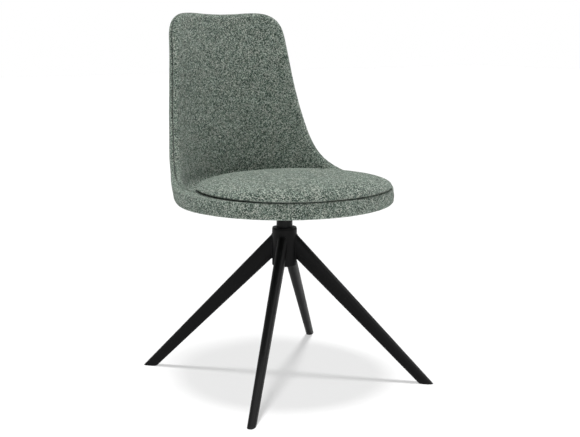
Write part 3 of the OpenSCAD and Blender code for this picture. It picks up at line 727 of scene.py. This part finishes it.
def rim_side(a, out):
    """The same rows of points on the low rim in front, where the edge lies under the cushion."""
    tip = rim_point(a, -lip_inset, seat_floor)
    if out < 0:
        count = len(dip_steps) + len(hollow_angles) + len(wall_steps) + 1 + len(cap_steps)
        wide = half_edge + side_hollow_r
        return [rim_point(a, -wide + (wide - lip_inset) * n / (count - 1), seat_floor) for n in range(count)]
    low = seat_floor - lip_h
    end, k = rim_point(a, half_edge - rim_slack, low), rim_point(a, half_edge - rim_slack, seat_floor)
    foot = [rim_point(a, half_edge - rim_under_w * (1 - cos(radians(f))),
                   wide_z - (wide_z - pan_low) * sin(radians(f))) for f in under_angles]
    wall = [rim_point(a, half_edge + rim_swell * sin(pi * q ** rim_sag) - rim_slack * q,
                   wide_z + (low - wide_z) * q) for q in wall_steps]
    cap = [turned_corner(end, k, tip, f, lip_softness) for f in cap_steps]
    for spot in cap:
        spot.z += lip_rise * max(0, 1 - (spot - k).length / lip_rise_w)
    return foot + wall + [end] + cap


def core_side(a, d):
    """Points along the moulded core, at a distance from its middle surface, from the pan to its edge."""
    share = read_row(edge_line, a)[1]
    b, z = rooted(a, half_edge + core_inset)
    lines = []
    for place, at, top in ((wing_point, b, z), (rim_point, a, rim_top - rim_h / 3)):
        rise = min(core_bend_w, (top - core_mid) * core_bend_share)
        low = core_mid + rise
        bend = [place(at, (core_bend_w + d) * cos(radians(f)) - core_bend_w,
                      low - (rise + d) * sin(radians(f))) for f in core_angles]
        lines.append(bend + [place(at, d, low + (top - low) * q) for q in core_steps])
    return [p.lerp(q, share) for p, q in zip(*lines)]


def parting(a, d):
    """Where the two covers meet above the core's edge."""
    share = read_row(edge_line, a)[1]
    b, z = rooted(a, half_edge)
    return wing_point(b, d, z).lerp(rim_point(a, d - parting_in, rim_top - lip_h), share)


def flat_point(a, q, z):
    share = read_row(edge_line, a)[1]
    at = radians(rooted(a, half_edge)[0] * (1 - share) + a * share)
    return Vector((q * pan_r * sin(at), pan_behind + q * pan_r * cos(at), z))


def cover_column(a, out):
    """One line of points round the cover in direction a, closed at the two ends in the middle of the pan."""
    share = read_row(edge_line, a)[1]
    side = [p.lerp(q, share) for p, q in zip(wing_side(a, out), rim_side(a, out))]
    gap = core_t / 2 + core_gap
    z = pan_low if out > 0 else seat_floor
    back = core_side(a, out * gap)
    core_z = core_mid - out * gap
    face = [flat_point(a, q, z) for q in floor_shares] + side
    inside = [parting(a, out * core_gap)] + back[::-1]
    inside += [flat_point(a, floor_shares[-1], core_z), flat_point(a, 0, core_z)]
    return face, inside


# Columns stand at even steps along the edge, which falls steeply from the top of the back to the rim.
half_columns = 150
fine_steps = 2400
wave_h, wave_foot = 0.0011, 0.01
waves = ((17, Vector((0, 0, 0)), 0.7), (41, Vector((5, 3, 1)), 0.3))
calm_w = 0.02
fine = [180 * n / fine_steps for n in range(fine_steps + 1)]
tips = [wing_point(a, 0, tip_z(a)).lerp(rim_point(a, 0, rim_top), read_row(edge_line, a)[1]) for a in fine]
runs = [0.0]
for p, q in zip(tips, tips[1:]):
    runs.append(runs[-1] + (q - p).length)
angles, edge_run = [], []
at = 0
for n in range(half_columns + 1):
    goal = runs[-1] * n / half_columns
    while at < fine_steps - 1 and runs[at + 1] < goal:
        at += 1
    angles.append(min(180.0, fine[at] + 180 / fine_steps * (goal - runs[at]) / (runs[at + 1] - runs[at])))
    edge_run.append(goal)


def make_cover(name, out):
    """A closed cover, mirrored left and right, with the run of its sewn edge kept as its UV map."""
    half = [cover_column(a, out) for a in angles]
    count = 2 * half_columns
    spots = []
    for k in range(count):
        n = k if k <= half_columns else count - k
        face, inside = half[n]
        side = 1 if k <= half_columns else -1
        spots.append([Vector((side * p.x, p.y + axis_y, p.z)) for p in face + inside])
    shown = len(half[0][0])
    rings = [lambda k, r=r: spots[k][r] for r in range(len(spots[0]))]
    bm = stack_rings(rings, count, ends="merge")
    column = bm.verts.layers.int["column"]
    ring = bm.verts.layers.int["ring"]
    sewn = bm.loops.layers.uv.new("sewn_edge")
    lengths = []
    for n in range(half_columns + 1):
        face = half[n][0]
        away = [0.0]
        for p, q in zip(face[::-1], face[-2::-1]):
            away.append(away[-1] + (p - q).length)
        lengths.append(away[::-1])
    for face in bm.faces:
        for loop in face.loops:
            k = loop.vert[column]
            n = k if k <= half_columns else count - k
            r = min(loop.vert[ring], shown - 1)
            away = lengths[n][r] + calm_w * read_row(edge_line, angles[n])[1]
            loop[sewn].uv = (edge_run[n], away)
    for v in bm.verts:
        if v[ring] < shown:
            wave = sum(share * noise.noise(v.co * scale + shift) for scale, shift, share in waves)
            calm = min(1, lengths[min(v[column], count - v[column])][v[ring]] / calm_w)
            v.co += v.normal * wave * wave_h * calm * ease((v.co.z - pan_low) / wave_foot)
    cover = settle(bm, name, "seat", wool_on_shell)
    soften = cover.modifiers.new("smooth", "SUBSURF")
    soften.levels = soften.render_levels = 1
    soften.use_limit_surface = False
    return cover


outer_cover = make_cover("outer_cover", 1)
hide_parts("outer_pad")


# Inner cover. The same foam and wool on the inside of the back and wings, running in one hollow down to
# the pan and on under the cushion. Its edge is sewn to the outer cover's, and the seam sinks in.
inner_cover = make_cover("inner_cover", -1)
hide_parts("inner_pad")


# Seat cushion. A round crowned pad of foam on a plywood disc, with the same wool pulled over it and
# stapled beneath, so that its sides roll under. It is nearly round, fullest in front, and falls away to
# the sides and the rear.
crown_h = 0.0178
roll_w, roll_front_w = 0.0366, 0.0222
wall_h, wall_front_h, wall_end_h = 0.0130, 0.0074, 0.003
cushion_columns = 180
cushion_rings = (.995, .985, .965, .94, .9, .85, .79, .72, .64, .55, .45, .34, .22, .11, 0)
seam_band = 0.0015
cushion_under = ((0, rim_top), (0.5, rim_top), (0.9, rim_top), (0.945, rim_top + seat_gap),
                 (0.99, seam_z - seam_band), (1, seam_z))
cushion_low = rim_top + 0.0001
blow_frames, blow_cap = 20, 0.001


def cushion_point(k, q, z=None):
    """Column k, at the share q of the way out to the edge. Without a height it lies on the crown."""
    c, s = cos(2 * pi * k / cushion_columns), sin(2 * pi * k / cushion_columns)
    if z is None:
        turn = min(1, max(0, 1 - (1 - q) * cushion_a / (roll_w + roll_front_w * c)))
        tall = wall_h + wall_front_h * q * c + wall_end_h * q * q * (2 * c * c - 1)
        full = 2 + max(0, c) ** 2
        z = seam_z + tall * (1 - turn ** full) ** (1 / full) + crown_h * (1 - q * q)
    r = q * (abs(c) ** squareness + abs(s) ** squareness) ** (-1 / squareness)
    return Vector((r * cushion_a * s, axis_y - cushion_ahead - r * cushion_b * c, z))


rings = [lambda k, q=q, z=z: cushion_point(k, q, z) for q, z in cushion_under]
rings += [lambda k, q=q: cushion_point(k, q) for q in cushion_rings]
bm = stack_rings(rings, cushion_columns, ends="merge")
wool_on_cushion = upholstery("woven_upholstery_seat", (1, 0.55, 1))
cushion = settle(bm, "seat_pad", "seat", wool_on_cushion)
rest = [v.co.copy() for v in cushion.data.vertices]
stapled = cushion.vertex_groups.new(name="stapled")
stapled.add([v.index for v in cushion.data.vertices if v.co.z < seam_z + seam_band], 1.0, "REPLACE")
cloth = cushion.modifiers.new("stuffing", "CLOTH")
cloth.settings.vertex_group_mass = "stapled"
cloth.settings.quality = 6
cloth.settings.use_pressure = True
cloth.settings.uniform_pressure_force = 4.0
cloth.settings.effector_weights.gravity = 0
for frame_number in range(1, blow_frames + 1):
    bpy.context.scene.frame_set(frame_number)
blown = bpy.data.meshes.new_from_object(cushion.evaluated_get(bpy.context.evaluated_depsgraph_get()))
cushion.modifiers.remove(cloth)
bpy.context.scene.frame_set(1)
for v, start in zip(blown.vertices, rest):
    move = v.co - start
    if move.length > blow_cap:
        v.co = start + move * (blow_cap / move.length)
    v.co.z = max(v.co.z, cushion_low)
cushion.data = blown
blown.name = "seat_pad"
for face in blown.polygons:
    face.use_smooth = True
dress(cushion, wool_on_cushion)
soften = cushion.modifiers.new("smooth", "SUBSURF")
soften.levels = soften.render_levels = 1
soften.use_limit_surface = False
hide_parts("seat_cushion")
